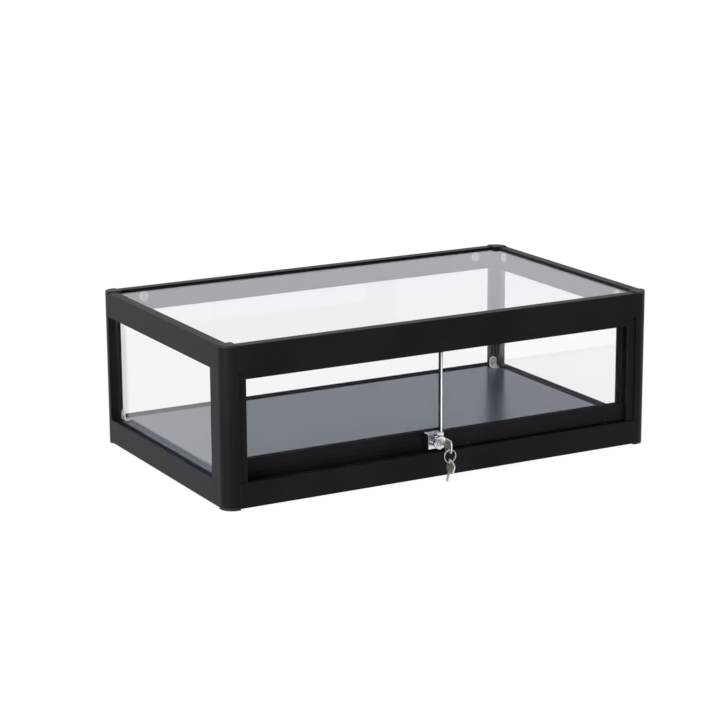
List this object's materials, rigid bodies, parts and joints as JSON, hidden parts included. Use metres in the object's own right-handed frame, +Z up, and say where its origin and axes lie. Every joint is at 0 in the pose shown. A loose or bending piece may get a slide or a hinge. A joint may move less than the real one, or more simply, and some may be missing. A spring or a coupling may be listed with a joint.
{
  "type": "glass display showcase",
  "caption": "Black-framed glass counter-top display case with a sunk glass top, two sliding glass doors, a push-in lock and hanging keys.",
  "frame": {"origin": "middle of the footprint on the ground, with the keys that hang in front of the case counted in", "axes": "+X to the right along the case's length, +Y to the back (the sliding doors face -Y), +Z up"},
  "size_m": [0.75, 0.4992, 0.25],
  "materials": {
    "black_metal": "satin black powder coat",
    "black_plastic": "matt black moulding",
    "board": "semi-gloss black laminate",
    "clear_glass": "clear polished float glass",
    "clear_plastic": "clear moulded plastic",
    "black_rubber": "matt black rubber",
    "chrome": "bright plated",
    "nickel_steel": "nickel plated steel",
    "nylon": "natural nylon"
  },
  "bodies": {
    "case_frame": {"base_board": "board", "bottom_rail_back": "black_metal", "bottom_rail_front": "black_metal", "bottom_rail_left": "black_metal", "bottom_rail_right": "black_metal", "corner_bracket_back_left": "clear_plastic", "corner_bracket_back_right": "clear_plastic", "door_track_bottom": "black_metal", "door_track_top": "black_metal", "foot_back_left": "black_plastic", "foot_back_right": "black_plastic", "foot_front_left": "black_plastic", "foot_front_right": "black_plastic", "glass_back": "clear_glass", "glass_left": "clear_glass", "glass_right": "clear_glass", "jamb_left": "black_metal", "jamb_right": "black_metal", "post_back_left": "black_metal", "post_back_right": "black_metal", "post_cap_back_left": "black_plastic", "post_cap_back_right": "black_plastic", "post_cap_front_left": "black_plastic", "post_cap_front_right": "black_plastic", "post_front_left": "black_metal", "post_front_right": "black_metal", "rail_clip_back_left": "clear_plastic", "rail_clip_back_right": "clear_plastic", "rail_clip_left_back": "clear_plastic", "rail_clip_left_front": "clear_plastic", "rail_clip_right_back": "clear_plastic", "rail_clip_right_front": "clear_plastic", "side_cover_left": "black_metal", "side_cover_right": "black_metal", "top_glass": "clear_glass", "top_rail_back": "black_metal", "top_rail_front": "black_metal", "top_rail_left": "black_metal", "top_rail_right": "black_metal"},
    "front_door": {"front_door_glass": "clear_glass", "front_door_shoe": "black_metal", "front_door_axle_left": "nickel_steel", "front_door_axle_right": "nickel_steel", "lock_body": "chrome"},
    "rear_door": {"rear_door_glass": "clear_glass", "rear_door_seal": "black_rubber", "rear_door_shoe": "black_metal", "rear_door_axle_left": "nickel_steel", "rear_door_axle_right": "nickel_steel", "lock_strike": "chrome"},
    "front_door_roller_left": {"front_door_roller_left": "nylon"},
    "front_door_roller_right": {"front_door_roller_right": "nylon"},
    "rear_door_roller_left": {"rear_door_roller_left": "nylon"},
    "rear_door_roller_right": {"rear_door_roller_right": "nylon"},
    "lock_barrel": {"lock_barrel": "chrome"},
    "lock_plug": {"lock_plug": "chrome"},
    "key": {"key": "nickel_steel"},
    "key_ring": {"key_ring": "nickel_steel"},
    "spare_key": {"spare_key": "nickel_steel"}
  },
  "joints": [
    {"name": "front_door_slide", "type": "slide", "parent": "case_frame", "child": "front_door", "axis": [-1, 0, 0], "range_m": [0, 0.3]},
    {"name": "rear_door_slide", "type": "slide", "parent": "case_frame", "child": "rear_door", "axis": [1, 0, 0], "range_m": [0, 0.3]},
    {"name": "lock_push", "type": "slide", "parent": "front_door", "child": "lock_barrel", "axis": [0, 1, 0], "range_m": [0, 0.008], "stiffness_N_per_m": 150},
    {"name": "plug_turn", "type": "hinge", "parent": "lock_barrel", "child": "lock_plug", "pos_m": [-0.0145, -0.2004, 0.0575], "axis": [0, 1, 0], "range_deg": [0, 90]},
    {"name": "key_withdraw", "type": "slide", "parent": "lock_plug", "child": "key", "axis": [0, -1, 0], "range_m": [0, 0.016]},
    {"name": "ring_swing", "type": "hinge", "parent": "key", "child": "key_ring", "pos_m": [-0.0145, -0.2359, 0.053], "axis": [1, 0, 0], "range_deg": [-20, 8]},
    {"name": "spare_key_swing", "type": "hinge", "parent": "key_ring", "child": "spare_key", "pos_m": [-0.0145, -0.2359, 0.0334], "axis": [1, 0, 0], "range_deg": [-5, 12]},
    {"name": "front_door_roller_left_spin", "type": "hinge", "parent": "front_door", "child": "front_door_roller_left", "pos_m": [0.045, -0.1854, 0.0448], "axis": [0, 1, 0], "range_deg": [-2200, 2200]},
    {"name": "front_door_roller_right_spin", "type": "hinge", "parent": "front_door", "child": "front_door_roller_right", "pos_m": [0.302, -0.1854, 0.0448], "axis": [0, 1, 0], "range_deg": [-2200, 2200]},
    {"name": "rear_door_roller_left_spin", "type": "hinge", "parent": "rear_door", "child": "rear_door_roller_left", "pos_m": [-0.302, -0.1714, 0.0448], "axis": [0, 1, 0], "range_deg": [-2200, 2200]},
    {"name": "rear_door_roller_right_spin", "type": "hinge", "parent": "rear_door", "child": "rear_door_roller_right", "pos_m": [-0.0386, -0.1714, 0.0448], "axis": [0, 1, 0], "range_deg": [-2200, 2200]}
  ],
  "couplings": [
    {"joint": "front_door_roller_left_spin", "follows": "front_door_slide", "rad_per_m": -125},
    {"joint": "front_door_roller_right_spin", "follows": "front_door_slide", "rad_per_m": -125},
    {"joint": "rear_door_roller_left_spin", "follows": "rear_door_slide", "rad_per_m": 125},
    {"joint": "rear_door_roller_right_spin", "follows": "rear_door_slide", "rad_per_m": 125}
  ]
}
